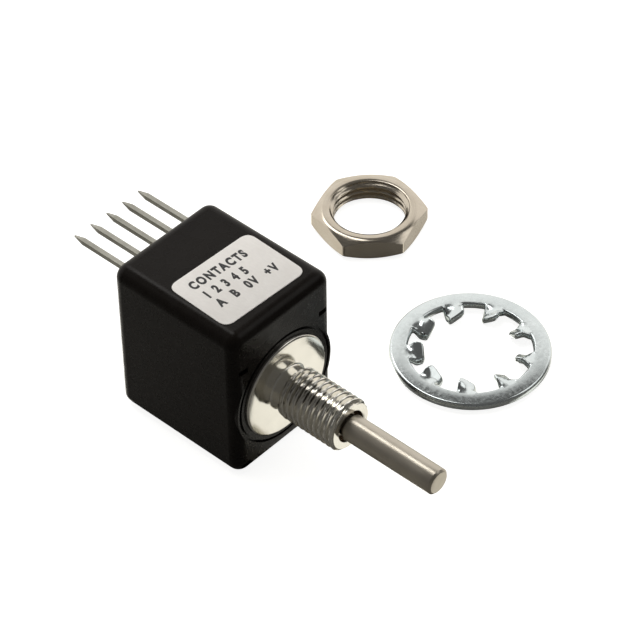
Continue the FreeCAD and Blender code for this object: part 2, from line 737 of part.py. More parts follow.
def hex_nut():
    body = new_body("hex_nut")
    hexagon = new_sketch(body, "nut_hexagon", "XY_Plane")
    corner = "nut_flats / sqrt(3)"
    draw_outline(hexagon, [
        (f"{corner} * cos({60 * i})", f"{corner} * sin({60 * i})") for i in range(6)
    ])
    extrude(body, hexagon, "nut_depth")

    far = "nut_flats"
    drop = f"({far} - nut_face) * tan(nut_slope)"
    for name, face, direction in (("lower_chamfer", "0", ""), ("upper_chamfer", "nut_depth", "-")):
        chamfer = new_sketch(body, name, "XZ_Plane")
        draw_outline(chamfer, [
            ("nut_face", face), (far, f"{face} + {direction}({drop})"),
            (far, f"{face} + {direction}(-beyond)"), ("nut_face", f"{face} + {direction}(-beyond)"),
        ])
        spin(body, chamfer, "PartDesign::Groove")

    bore = new_sketch(body, "nut_bore_outline", "XZ_Plane")
    draw_outline(bore, [
        ("0", "-beyond"), ("nut_bore + nut_sink + beyond", "-beyond"),
        ("nut_bore + nut_sink", "0"), ("nut_bore", "nut_sink"),
        ("nut_bore", "nut_depth - nut_sink"), ("nut_bore + nut_sink", "nut_depth"),
        ("nut_bore + nut_sink + beyond", "nut_depth + beyond"), ("0", "nut_depth + beyond"),
    ])
    spin(body, bore, "PartDesign::Groove")
    return put_down(body, "nut_across", "nut_back", "-body_drop", "nut_turn")


def lock_washer():
    body = new_body("lock_washer")
    ring = new_sketch(body, "washer_ring", "XY_Plane")
    draw_circle(ring, "washer_radius")
    draw_circle(ring, "washer_root")
    extrude(body, ring, "washer_depth")
    rim, top = number("washer_radius"), number("washer_depth")
    soften(
        body, "PartDesign::Fillet", "washer_edge", "Radius",
        lambda edge: lies_at(edge, Z_AXIS, top) and edge.Curve.Radius > rim - 0.1,
    )

    tooth = body.newObject("PartDesign::AdditiveBox", "tooth")
    tooth.AttachmentSupport = [(origin_feature(body, "XY_Plane"), "")]
    tooth.MapMode = "FlatFace"
    tooth.setExpression("Length", bound("washer_root + tooth_inside - washer_tip"))
    tooth.setExpression("Width", bound("tooth_width"))
    tooth.setExpression("Height", bound("washer_depth"))
    twist = Rotation(X_AXIS, -number("tooth_twist"))
    middle = Vector(number("washer_tip"), 0, number("washer_depth / 2"))
    corner = Vector(0, -number("tooth_width / 2"), -number("washer_depth / 2"))
    tooth.AttachmentOffset = FreeCAD.Placement(middle + twist.multVec(corner), twist)
    document.recompute()

    pattern = body.newObject("PartDesign::PolarPattern", "teeth")
    pattern.Originals = [tooth]
    pattern.Axis = (origin_feature(body, "Z_Axis"), [""])
    pattern.Angle = FULL_TURN
    pattern.setExpression("Occurrences", bound("tooth_count"))
    body.Tip = pattern
    document.recompute()
    tooth_reach = "tooth_width / 2 * sin(tooth_twist) + washer_depth / 2 * cos(tooth_twist)"
    height = f"{tooth_reach} - washer_depth / 2 - body_drop"
    return put_down(body, "washer_across", "washer_back", height, "washer_turn")


# ---- the whole encoder -------------------------------------------------------------------

nodes = [
    front_housing(), rear_cover(), label_plate(), mounting_bushing(), *sleeve_bearings(),
    shaft(), thrust_washer(), disc_spring(), retaining_ring(), disc_hub(), code_disc(), clamp_ring(),
    emitter(), emitter_holder(), mask_plate(), detector(), circuit_board(), comparator_chip(),
    *passive_parts(), pin_header(),
    *(terminal_pin(order, place) for order, place in enumerate(pin_places(), start=1)),
    hex_nut(), lock_washer(),
]
document.recompute()

failed = [thing.Name for thing in document.Objects if {"Invalid", "Error"} & set(thing.State)]
if failed:
    raise RuntimeError(f"these objects failed: {failed}")
for node in nodes:
    if node.Shape.isNull() or not node.Shape.isValid() or not node.Shape.Solids:
        raise RuntimeError(f"{node.Label} has no valid solid")

os.makedirs("parts", exist_ok=True)
for node in nodes:
    node.Shape.exportStep(f"parts/{node.Label}.step")
    print(f"{node.Label}: {len(node.Shape.Solids)} solid(s), {node.Shape.Volume:.2f} cubic mm")
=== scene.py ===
"""Looks of the panel-mount rotary encoder: finishes, threads, teeth, label, floor, lights and camera.

Sizes of the object are in millimetres, and those of the floor, the lights and the scene in metres.
"""

import json
import math

import bpy
import bmesh
from mathutils import Matrix, Vector


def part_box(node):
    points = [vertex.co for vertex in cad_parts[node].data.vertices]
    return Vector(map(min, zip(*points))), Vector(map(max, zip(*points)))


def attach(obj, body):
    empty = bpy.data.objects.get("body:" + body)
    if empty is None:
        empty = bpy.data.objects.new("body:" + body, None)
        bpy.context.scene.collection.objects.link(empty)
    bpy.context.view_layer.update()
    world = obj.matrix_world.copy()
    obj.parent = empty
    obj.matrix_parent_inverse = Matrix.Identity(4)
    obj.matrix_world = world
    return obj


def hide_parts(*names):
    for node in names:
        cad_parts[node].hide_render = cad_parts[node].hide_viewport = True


MM = 0.001
TURN = 2 * math.pi

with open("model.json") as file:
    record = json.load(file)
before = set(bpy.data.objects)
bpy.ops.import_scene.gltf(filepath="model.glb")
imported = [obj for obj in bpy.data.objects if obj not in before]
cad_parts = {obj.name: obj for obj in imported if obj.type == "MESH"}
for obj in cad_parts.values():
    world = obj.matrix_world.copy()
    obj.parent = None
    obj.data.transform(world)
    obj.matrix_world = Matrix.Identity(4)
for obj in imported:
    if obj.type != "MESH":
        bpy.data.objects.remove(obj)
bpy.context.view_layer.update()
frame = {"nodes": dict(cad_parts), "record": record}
nodes = frame["nodes"]
scene = bpy.context.scene


# ---- materials ---------------------------------------------------------------------------

class Nodes:
    """A short way to write a material's node tree."""

    def __init__(self, name):
        self.material = bpy.data.materials.new(name)
        self.material.use_nodes = True
        self.tree = self.material.node_tree
        self.shader = self.tree.nodes["Principled BSDF"]

    def add(self, kind, inputs=None, **settings):
        node = self.tree.nodes.new(kind)
        for key, value in settings.items():
            setattr(node, key, value)
        for key, value in (inputs or {}).items():
            self.feed(node.inputs[key], value)
        return node

    def feed(self, socket, value):
        if isinstance(value, bpy.types.NodeSocket):
            self.tree.links.new(value, socket)
        else:
            socket.default_value = value

    def set(self, **inputs):
        for key, value in inputs.items():
            self.feed(self.shader.inputs[key.replace("_", " ")], value)

    def place(self):
        return self.add("ShaderNodeTexCoord").outputs["Object"]

    def noise(self, scale, detail=3.0, stretch=None):
        """Fine variation; scale is in cells per metre, and stretch scales it along each axis."""
        vector = self.place()
        if stretch:
            vector = self.add("ShaderNodeMapping", {"Vector": vector, "Scale": stretch}).outputs["Vector"]
        node = self.add("ShaderNodeTexNoise", {"Vector": vector, "Scale": scale, "Detail": detail})
        return node.outputs["Fac"]

    def lines(self, scalar, scale):
        """Fine variation along one number only, such as turning marks."""
        node = self.add(
            "ShaderNodeTexNoise", {"W": scalar, "Scale": scale, "Detail": 4.0}, noise_dimensions="1D")
        return node.outputs["Fac"]

    def math(self, operation, *values):
        node = self.add("ShaderNodeMath", operation=operation)
        for socket, value in zip(node.inputs, values):
            self.feed(socket, value)
        return node.outputs["Value"]

    def spread(self, value, low, high):
        """Noise stretched over low to high; most of it lies between 0.3 and 0.7."""
        node = self.add("ShaderNodeMapRange", {
            "Value": value, "From Min": 0.3, "From Max": 0.7, "To Min": low, "To Max": high,
        })
        return node.outputs["Result"]

    def blend(self, factor, first, second):
        node = self.add("ShaderNodeMix", data_type="RGBA")
        self.feed(node.inputs["Factor"], factor)
        self.feed(node.inputs["A"], (*first, 1) if isinstance(first, tuple) else first)
        self.feed(node.inputs["B"], (*second, 1) if isinstance(second, tuple) else second)
        return node.outputs["Result"]

    def bump(self, height, depth):
        inputs = {"Height": height, "Distance": depth, "Strength": 1.0}
        return self.add("ShaderNodeBump", inputs).outputs["Normal"]

    def radius(self, centre, axis):
        """Distance from an axis through centre, plus the distance along it: steady round a turned piece."""
        parts = self.add("ShaderNodeSeparateXYZ", {"Vector": self.place()}).outputs
        x, y, z = (self.math("SUBTRACT", part, offset) for part, offset in zip(parts, centre))
        across, along = ((x, z), y) if axis == "Y" else ((x, y), z)
        squares = [self.math("MULTIPLY", part, part) for part in across]
        return self.math("ADD", self.math("SQRT", self.math("ADD", *squares)), along)


def moulded(name, dark, light, roughness, grain=9000.0, depth=0.006, specular=0.5):
    """Moulded plastic: a fine spark-eroded texture, faint flow clouds and uneven gloss."""
    n = Nodes(name)
    cloud = n.noise(160.0, 2.0)
    n.set(Base_Color=n.blend(n.spread(cloud, 0, 1), dark, light), Specular_IOR_Level=specular,
          Roughness=n.spread(n.noise(900.0), roughness - 0.05, roughness + 0.05),
          Normal=n.bump(n.noise(grain, 2.0), depth * MM))
    return n


def metal(name, dark, light, roughness, depth=0.002, centre=None, axis="Y", turning=14000.0):
    """Bare or plated metal, with turning marks round centre when it is given."""
    n = Nodes(name)
    cloud = n.noise(350.0)
    marks = n.lines(n.radius(centre, axis), turning) if centre else n.noise(2500.0)
    n.set(Base_Color=n.blend(n.spread(cloud, 0, 1), dark, light), Metallic=1.0,
          Roughness=n.spread(marks, roughness - 0.06, roughness + 0.06),
          Normal=n.bump(marks, depth * MM))
    return n


HOUSING_AXIS = (0.0, 0.0, 0.0)
nut_low, nut_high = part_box("hex_nut")
nut_centre = tuple((nut_low + nut_high) / 2)
washer_low, washer_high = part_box("lock_washer")
washer_centre = (washer_low + washer_high) / 2

materials = {
    "housing_black": moulded(
        "moulded_black", (0.0065, 0.0050, 0.0042), (0.0100, 0.0082, 0.0068), 0.28, specular=0.11),
    "inner_plastic": moulded("inner_black", (0.010, 0.010, 0.011), (0.02, 0.02, 0.021), 0.5),
    "slip_plastic": moulded("slip_white", (0.76, 0.74, 0.68), (0.84, 0.82, 0.77), 0.35),
    "emitter_clear": moulded("lens_tint", (0.22, 0.12, 0.30), (0.30, 0.18, 0.38), 0.12, depth=0.001),
    "chip_case": moulded("chip_black", (0.012, 0.012, 0.013), (0.022, 0.022, 0.023), 0.55, depth=0.01),
    "board_green": moulded("board_mask", (0.008, 0.06, 0.025), (0.014, 0.09, 0.035), 0.3, grain=3000.0),
    "ceramic_tan": moulded("ceramic_tan", (0.34, 0.22, 0.11), (0.42, 0.28, 0.16), 0.5),
    "bushing_aluminium": metal(
        "bushing_aluminium", (0.80, 0.78, 0.72), (0.86, 0.84, 0.78), 0.13, depth=0.0010, centre=HOUSING_AXIS),
    "hub_aluminium": metal(
        "hub_aluminium", (0.70, 0.70, 0.69), (0.78, 0.78, 0.77), 0.25, centre=HOUSING_AXIS),
    # Dark brown, partly the oiled bronze's own tone and partly painted shade: its face sits deep in the nose
    # bore and is seen only through the gap round the shaft.
    "bearing_bronze": metal("bearing_bronze", (0.10, 0.06, 0.03), (0.17, 0.10, 0.05), 0.55, depth=0.006),
    "shaft_steel": metal(
        "shaft_steel", (0.51, 0.47, 0.40), (0.58, 0.54, 0.465), 0.34, depth=0.0012, centre=HOUSING_AXIS,
        turning=20000.0),
    "spring_steel": metal("spring_steel", (0.30, 0.30, 0.31), (0.38, 0.38, 0.39), 0.3),
    "disc_steel": metal("disc_steel", (0.42, 0.42, 0.43), (0.52, 0.52, 0.53), 0.22, centre=HOUSING_AXIS),
    "pin_tin": metal("pin_tin", (0.40, 0.395, 0.35), (0.52, 0.515, 0.465), 0.62, depth=0.004),
    "nut_nickel": metal(
        "nut_nickel", (0.56, 0.50, 0.41), (0.64, 0.585, 0.50), 0.19, depth=0.0015, centre=nut_centre,
        axis="Z"),
    "washer_zinc": metal("washer_zinc", (0.66, 0.72, 0.735), (0.76, 0.82, 0.835), 0.20, depth=0.003),
}


def label_film():
    """Off-white printed film with a faint weave of paper fibre and small handling marks."""
    n = Nodes("label_film")
    cloud = n.noise(420.0, 4.0)
    fibre = n.noise(5200.0, 3.0, stretch=(1.0, 0.35, 1.0))
    base = n.blend(n.spread(cloud, 0, 1), (0.82, 0.795, 0.765), (0.87, 0.85, 0.82))
    n.set(Base_Color=n.blend(n.spread(fibre, 0, 0.35), base, (0.74, 0.72, 0.69)),
          Roughness=n.spread(fibre, 0.38, 0.52), Normal=n.bump(fibre, 0.002 * MM))
    return n


def print_ink():
    """Black thermal print, a little patchy."""
    n = Nodes("print_ink")
    patch = n.noise(6000.0, 3.0)
    n.set(Base_Color=n.blend(n.spread(patch, 0, 1), (0.008, 0.008, 0.009), (0.03, 0.03, 0.031)),
          Roughness=n.spread(patch, 0.4, 0.6), Normal=n.bump(patch, 0.001 * MM))
    return n


materials["label_white"] = label_film()
materials["print_ink"] = print_ink()


# ---- mesh helpers ------------------------------------------------------------------------

WELD = 0.0005 * MM


def piece(name, points, faces, slot, body, smooth):
    """A new object from points in millimetres, with its finish and its body."""
    mesh = bpy.data.meshes.new(name)
    mesh.from_pydata([Vector(point) * MM for point in points], [], faces)
    return dress(name, mesh, slot, body, smooth)


def dress(name, mesh, slot, body, smooth, material=None):
    """Clean a mesh, shade it smooth up to an angle and make it an object of its body."""
    work = bmesh.new()
    work.from_mesh(mesh)
    bmesh.ops.remove_doubles(work, verts=work.verts, dist=WELD)
    bmesh.ops.dissolve_degenerate(work, dist=WELD, edges=work.edges)
    bmesh.ops.recalc_face_normals(work, faces=work.faces)
    for face in work.faces:
        face.smooth = True
    limit = math.radians(smooth)
    for edge in work.edges:
        if len(edge.link_faces) == 2 and edge.calc_face_angle(0.0) > limit:
            edge.smooth = False
    work.to_mesh(mesh)
    work.free()
    mesh.materials.clear()
    mesh.materials.append(materials[material or slot].material)
    thing = bpy.data.objects.new(name, mesh)
    scene.collection.objects.link(thing)
    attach(thing, body)
    return thing


def rings_to_faces(count, rings, closed):
    """Quads between rings of count points each; closed joins the last ring to the first."""
    faces = []
    for row in range(rings if closed else rings - 1):
        low, high = row * count, ((row + 1) % rings) * count
        for at in range(count):
            after = (at + 1) % count
            faces.append((low + at, low + after, high + after, high + at))
    return faces


def rounded(corners, radius, steps):
    """A closed outline in a plane with its corners rounded; radius may differ at each corner."""
    result = []
    size = len(corners)
    for at, corner in enumerate(corners):
        corner = Vector(corner)
        before, after = Vector(corners[at - 1]) - corner, Vector(corners[(at + 1) % size]) - corner
        reach = radius[at] if isinstance(radius, (list, tuple)) else radius
        if reach <= 0:
            result.append(tuple(corner))
            continue
        angle = before.angle(after)
        back = min(reach / math.tan(angle / 2), 0.45 * before.length, 0.45 * after.length)
        start, end = corner + before.normalized() * back, corner + after.normalized() * back
        for step in range(steps + 1):
            share = step / steps
            first, second = start.lerp(corner, share), corner.lerp(end, share)
            result.append(tuple(first.lerp(second, share)))
    return result


def ramp(value, low, high):
    """0 below low, 1 above high, smooth between."""
    share = min(1.0, max(0.0, (value - low) / (high - low)))
    return share * share * (3 - 2 * share)


# ---- the threaded bushing ----------------------------------------------------------------
# Y runs along the shaft: 0 is the flange's face, and the barrel and the shaft go to minus Y.

PITCH = 25.4 / 32
THREAD_DEPTH = 0.47
THREAD_STEP = 0.05

BARREL, BARREL_END = 3.175, -9.5
CHAMFER = 0.35
NECK, NECK_END = 2.72, -1.15
NECK_RINGS = (-0.25, -0.55, -0.85)
RUN_OUT = 1.6
NOSE_BORE, NOSE_END = 1.95, -8.3
BEARING_BORE = 2.4
TAIL, TAIL_END = 3.6, 6.0
COLLAR, COLLAR_END = 6.1, 2.7
WAIST, WAIST_END = 5.6, 1.7
FLANGE, FLANGE_END = 6.36, 1.0
FACE_MIDDLE = 4.5

# Soft edges, as (distance from the named radius, distance from the end of that stretch).
FLANGE_EDGE = [(0.0, 0.16), (0.03, 0.09), (0.18, 0.012), (0.22, 0.0)]
NECK_FILLET = [(0.3, 0.0), (0.09, 0.03), (0.02, 0.1)]
NOSE_LIP = [(0.12, 0.0), (0.02, 0.04), (0.0, 0.14)]


def thread_wave(phase, crest=0.16, root=0.2):
    """0 at the thread's root and 1 at its crest, with flats that are soft at their edges."""
    height = abs(2 * (phase % 1.0) - 1)
    flank = min(1.0, max(0.0, (height - root) / (1 - crest - root)))
    return 0.5 * ramp(height, root, 1 - crest) + 0.5 * flank


def barrel_radius(y, turn):
    """Radius of the threaded barrel, with its chamfered end and its run-out at the neck."""
    limit = min(BARREL, BARREL - CHAMFER + (y - BARREL_END), NECK + RUN_OUT * max(0.0, NECK_END - y))
    root = BARREL - THREAD_DEPTH
    cut = root + THREAD_DEPTH * thread_wave(y / PITCH + turn)
    return max(min(cut, limit), min(root, limit))


def build_bushing():
    segments = 180
    tip = BARREL - CHAMFER
    tip_flat = 0.03
    rear = [
        (BEARING_BORE, NOSE_END), (BEARING_BORE, TAIL_END), (TAIL, TAIL_END), (TAIL, COLLAR_END),
        (COLLAR, COLLAR_END), (COLLAR, WAIST_END), (WAIST, WAIST_END), (WAIST, FLANGE_END),
        (FLANGE, FLANGE_END),
    ]
    rear += [(FLANGE - inward, back) for inward, back in FLANGE_EDGE] + [(FACE_MIDDLE, 0.0)]
    rear += [(NECK + outward, -forward) for outward, forward in NECK_FILLET]
    rear += [(NECK, y) for y in NECK_RINGS]
    threaded = [
        NECK_END - THREAD_STEP * step for step in range(round((NECK_END - BARREL_END) / THREAD_STEP))
    ]
    nose = [(tip, BARREL_END), (tip - tip_flat, BARREL_END)]
    nose += [(NOSE_BORE + outward, BARREL_END + inward) for outward, inward in NOSE_LIP]
    nose.append((NOSE_BORE, NOSE_END))
    rings = [[(y, radius)] * segments for radius, y in rear]
    rings += [[(y, barrel_radius(y, at / segments)) for at in range(segments)] for y in threaded]
    rings += [[(y, radius)] * segments for radius, y in nose]
    points = [
        (radius * math.cos(TURN * at / segments), y, radius * math.sin(TURN * at / segments))
        for ring in rings for at, (y, radius) in enumerate(ring)
    ]
    thing = piece("bushing_threaded", points, rings_to_faces(segments, len(rings), True),
                  "bushing_aluminium", "housing", smooth=40.0)
    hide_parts("mounting_bushing")


# ---- shaft -------------------------------------------------------------------------------

SHAFT, SHAFT_END, SHAFT_REAR = 1.5875, -22.225, 12.2
SHAFT_TIP = [
    (0.5, 0.0), (1.28, 0.0), (1.335, 0.01), (1.37, 0.05), (1.56, 0.215), (1.58, 0.25), (SHAFT, 0.32),
    (SHAFT, 2.0),
]
SHAFT_MIDDLE = -16.0
RELIEF, RELIEF_START, RELIEF_END = 1.3, -9.6, -8.7
RELIEF_EDGE = 0.03
JOURNAL = 1.54
CLIP_GROOVE, CLIP_START, CLIP_END = 1.2, 6.9, 7.4
REAR_CHAMFER = 0.1
# Each end is closed by one small flat face of this radius.
CAP_RADIUS = 0.06


def build_shaft():
    segments = 128
    profile = [(CAP_RADIUS, SHAFT_END)] + [(radius, SHAFT_END + back) for radius, back in SHAFT_TIP]
    profile += [
        (SHAFT, SHAFT_MIDDLE), (SHAFT, RELIEF_START - RELIEF_EDGE), (SHAFT - RELIEF_EDGE, RELIEF_START),
        (RELIEF, RELIEF_START), (RELIEF, RELIEF_END),
        (JOURNAL, RELIEF_END), (JOURNAL, CLIP_START), (CLIP_GROOVE, CLIP_START), (CLIP_GROOVE, CLIP_END),
        (JOURNAL, CLIP_END), (JOURNAL, SHAFT_REAR - REAR_CHAMFER), (JOURNAL - REAR_CHAMFER, SHAFT_REAR),
        (CAP_RADIUS, SHAFT_REAR),
    ]
    points = [
        (radius * math.cos(TURN * at / segments), y, radius * math.sin(TURN * at / segments))
        for radius, y in profile for at in range(segments)
    ]
    faces = rings_to_faces(segments, len(profile), False)
    last = len(points) - segments
    faces.append(tuple(range(segments)))
    faces.append(tuple(range(last, last + segments)))
    thing = piece("shaft_ground", points, faces, "shaft_steel", "rotor", smooth=40.0)
    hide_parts("shaft")


# ---- hex nut -----------------------------------------------------------------------------

NUT_FLATS = 12.45
NUT_THICK = 2.9
NUT_FACE = 5.9
NUT_CREST = 4.41
NUT_SINK = 0.5
NUT_LIP = 0.06
NUT_TURN = 15.9
NUT_SLOPE = math.tan(math.radians(30))
NUT_CORNER = 0.5
NUT_SPACING = 0.28
# The bearing face, as (share of the way from the countersink to the chamfer, drop at that place).
NUT_TOP = [(0.0, 0.045), (0.12, 0.01), (0.35, 0.0), (0.65, 0.0), (0.88, 0.01), (1.0, 0.045)]


def nut_outline():
    """Points round the nut's hexagon, with slightly rounded corners, as vectors from its middle."""
    corner = NUT_FLATS / math.sqrt(3)
    angles = [math.radians(NUT_TURN + 60 * side) for side in range(6)]
    arc = [
        Vector(point)
        for point in rounded([(corner * math.cos(a), corner * math.sin(a)) for a in angles], NUT_CORNER, 6)
    ]
    outline = []
    for at, here in enumerate(arc):
        after = arc[(at + 1) % len(arc)]
        count = max(1, round((after - here).length / NUT_SPACING))
        outline += [here.lerp(after, step / count) for step in range(count)]
    return outline


def nut_hole(z, angle):
    """Radius of the threaded hole, with its countersinks."""
    wave = thread_wave(z / PITCH + angle / TURN, crest=0.2, root=0.16)
    sink = NUT_CREST + NUT_SINK - min(z, NUT_THICK - z)
    return max(NUT_CREST + THREAD_DEPTH * (1 - wave), sink)


def build_nut():
    around = nut_outline()
    mouth = NUT_CREST + NUT_SINK + NUT_LIP
    drops = [(v.length - NUT_FACE) * NUT_SLOPE for v in around]

    def circle(radius, z):
        return [(*(v.normalized() * radius), z) for v in around]

    def chamfer(share, height):
        """A ring part of the way from the round face to the hexagon's edge."""
        return [
            (*(v.normalized() * (NUT_FACE + (v.length - NUT_FACE) * share)), height(drop * share))
            for v, drop in zip(around, drops)
        ]

    rings = []
    levels = int(NUT_THICK / THREAD_STEP)
    for level in range(levels + 1):
        z = NUT_THICK * level / levels
        rings.append([(*(v.normalized() * nut_hole(z, math.atan2(v.y, v.x))), z) for v in around])
    for share, drop in NUT_TOP:
        rings.append(circle(mouth + (NUT_FACE - mouth) * share, NUT_THICK - drop))
    for share in (0.35, 0.7, 1.0):
        rings.append(chamfer(share, lambda drop: NUT_THICK - drop))
    for share in (0.04, 0.5, 0.96, 1.0):
        rings.append([
            (*v, (NUT_THICK - drop) * (1 - share) + drop * share) for v, drop in zip(around, drops)
        ])
    for share in (0.5, 0.0):
        rings.append(chamfer(share, lambda drop: drop))
    rings.append(circle(mouth, 0.0))

    middle_x, middle_y = nut_centre[0] / MM, nut_centre[1] / MM
    floor = nut_low.z / MM
    points = [(x + middle_x, y + middle_y, z + floor) for ring in rings for x, y, z in ring]
    faces = rings_to_faces(len(around), len(rings), True)
    thing = piece("nut_threaded", points, faces, "nut_nickel", "nut", smooth=22.0)
    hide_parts("hex_nut")


# ---- lock washer -------------------------------------------------------------------------

WASHER_OUT = 9.45
WASHER_ROOT = 7.33
WASHER_TIP = 5.4
WASHER_THICK = 0.95
WASHER_ROUND = 0.36
UNDER_START = 0.6
UNDER_EDGE = [(0.0, 0.1), (0.03, 0.03), (0.1, 0.0)]
RING_INNER = 7.75
RING_SLOPE = math.tan(math.radians(3.6))
TEETH = 9
TOOTH_TURN = 17.1
TOOTH_TWIST = 34.0
TWIST_START, TWIST_END = -0.05, 0.95
TOOTH_FOOT, TOOTH_NOSE = 1.22, 0.92
TOOTH_BULGE = 0.04
TOOTH_HALF_THICK = 0.41
THIN_START, THIN_END = 0.25, 0.9
TOOTH_EDGE = 0.3
FOOT_ROUND, NOSE_ROUND = 0.4, 0.62
EDGE_SPACING = 0.17


def tooth_outline():
    """One ninth of the washer's inner edge, as (out, across) pairs along a tooth's middle line."""
    half, foot = math.pi / TEETH, math.asin(TOOTH_FOOT / WASHER_ROOT)
    arc = [foot + (half - foot) * step / 4 for step in range(4)]
    low = [(WASHER_ROOT * math.cos(a), -WASHER_ROOT * math.sin(a)) for a in [half] + arc[:0:-1] + [foot]]
    nose = [(WASHER_TIP, -TOOTH_NOSE), (WASHER_TIP - TOOTH_BULGE, 0.0), (WASHER_TIP, TOOTH_NOSE)]
    high = [(out, -across) for out, across in reversed(low)]
    plain = [0.0] * (len(low) - 1)
    reach = plain + [FOOT_ROUND, NOSE_ROUND, 0.0, NOSE_ROUND, FOOT_ROUND] + plain
    points = [Vector(point) for point in rounded(low + nose + high, reach, 6)]
    dense = []
    for here, after in zip(points, points[1:]):
        count = max(1, math.ceil((after - here).length / EDGE_SPACING))
        dense += [here.lerp(after, step / count) for step in range(count)]
    return dense + [points[-1]]


def into_metal(points):
    """The direction into the metal at each point of that edge."""
    ways = []
    last = len(points) - 1
    for at, point in enumerate(points):
        run = points[min(at + 1, last)] - points[max(at - 1, 0)]
        ways.append(point.normalized() if at in (0, last) else Vector((run.y, -run.x)).normalized())
    return ways


def sheet(point, side):
    """A point on the metal's face, twisted at a tooth; side runs from -1, under, to 1, on top."""
    twist = -math.radians(TOOTH_TWIST) * ramp(WASHER_ROOT - point.length, TWIST_START, TWIST_END)
    share = ramp(point.length, WASHER_ROOT - THIN_END, WASHER_ROOT + THIN_START)
    half = (TOOTH_HALF_THICK + (WASHER_THICK / 2 - TOOTH_HALF_THICK) * share) / math.cos(twist)
    return (point.x, point.y, point.y * math.tan(twist) + side * half)


def washer_rows():
    """Loops of one ninth of the washer, from the underside round the inner edge and over the top."""
    edge = tooth_outline()
    ways = into_metal(edge)
    inset = [point + way * TOOTH_EDGE for point, way in zip(edge, ways)]
    turns = [math.atan2(point.y, point.x) for point in inset]
    turns[0], turns[-1] = -math.pi / TEETH, math.pi / TEETH
    feet = [Vector((RING_INNER * math.cos(turn), RING_INNER * math.sin(turn))) for turn in turns]

    def circle(radius, height):
        return [(radius * math.cos(turn), radius * math.sin(turn), height) for turn in turns]

    def web(side, parts):
        """Loops between the tooth's rounded edge and the plain ring."""
        return [[sheet(point.lerp(foot, part), side) for point, foot in zip(inset, feet)] for part in parts]

    top = WASHER_THICK / 2
    parts = (0.2, 0.4, 0.6, 0.8)
    rows = [circle(WASHER_OUT - UNDER_START, -top), circle(RING_INNER, -top)] + web(-1, parts[::-1])
    for angle in range(-90, 91, 15):
        bend = math.radians(angle)
        depth = TOOTH_EDGE * (1 - math.cos(bend))
        rows.append([sheet(point + way * depth, math.sin(bend)) for point, way in zip(edge, ways)])
    rows += web(1, parts) + [circle(RING_INNER, top)]
    shoulder = WASHER_OUT - WASHER_ROUND
    for share in (0.25, 0.5, 0.75, 1.0):
        out = RING_INNER + (shoulder - RING_INNER) * share
        rows.append(circle(out, top - (out - RING_INNER) * RING_SLOPE * share))
    crest = top - (shoulder - RING_INNER) * RING_SLOPE
    for angle in range(80, -1, -10):
        bend = math.radians(angle)
        rows.append(circle(
            shoulder + WASHER_ROUND * math.cos(bend), crest - WASHER_ROUND * (1 - math.sin(bend))))
    for inward, up in UNDER_EDGE:
        rows.append(circle(WASHER_OUT - inward, up - top))
    return rows


def build_washer():
    middle_x, middle_y = washer_centre[0] / MM, washer_centre[1] / MM
    clearance = 0.001
    rows = washer_rows()
    lift = washer_low.z / MM + clearance - min(z for row in rows for _, _, z in row)
    points = []
    for row in rows:
        for tooth in range(TEETH):
            turn = math.radians(TOOTH_TURN) + TURN * tooth / TEETH
            across, along = math.cos(turn), math.sin(turn)
            points += [
                (x * across - y * along + middle_x, x * along + y * across + middle_y, z + lift)
                for x, y, z in row[:-1]
            ]
    faces = rings_to_faces((len(rows[0]) - 1) * TEETH, len(rows), True)
    thing = piece("washer_toothed", points, faces, "washer_zinc", "washer", smooth=50.0)
    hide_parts("lock_washer")


# ---- label -------------------------------------------------------------------------------

LABEL_HALF_WIDTH, LABEL_HALF_LENGTH = 6.175, 4.6
LABEL_CORNER = 1.3
LABEL_ACROSS, LABEL_BACK = -0.13, 7.03
LABEL_TURN = -2.1
# The film's upper edge, as (distance in from its outline, distance under its top).
LABEL_EDGE = [(0.0, 0.03), (0.012, 0.008), (0.035, 0.0)]


def build_label():
    """The label's film; returns the height of its top."""
    low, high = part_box("label")
    top = high.z / MM

    def outline(inset):
        across, along = LABEL_HALF_WIDTH - inset, LABEL_HALF_LENGTH - inset
        corners = [(-across, -along), (across, -along), (across, along), (-across, along)]
        spin = Matrix.Rotation(math.radians(LABEL_TURN), 2)
        middle = Vector((LABEL_ACROSS, LABEL_BACK))
        return [middle + spin @ Vector(corner) for corner in rounded(corners, LABEL_CORNER - inset, 10)]

    levels = [(0.0, low.z / MM)] + [(inset, top - drop) for inset, drop in LABEL_EDGE]
    rings = [[(x, y, z) for x, y in outline(inset)] for inset, z in levels]
    points = [point for ring in rings for point in ring]
    count = len(rings[0])
    faces = rings_to_faces(count, len(rings), False)
    faces += [tuple(range(count)), tuple(range(len(points) - count, len(points)))]
    thing = piece("label_printed", points, faces, "label_white", "housing", smooth=60.0)
    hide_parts("label")
    return top


# Each line as (words, its start along X, its start along Y).
PRINT_LINES = [("CONTACTS", -4.55, 9.32), ("1 2 3 4 5", -4.50, 7.2), ("A  B  0V  +V", -4.45, 5.25)]
PRINT_SIZE = 1.72
PRINT_SQUEEZE = 0.72
PRINT_SPACING = 1.34
PRINT_BOLD = 0.098
PRINT_THICK = 0.0035
PRINT_LIFT = 0.0015
PRINT_TILT = -3.6


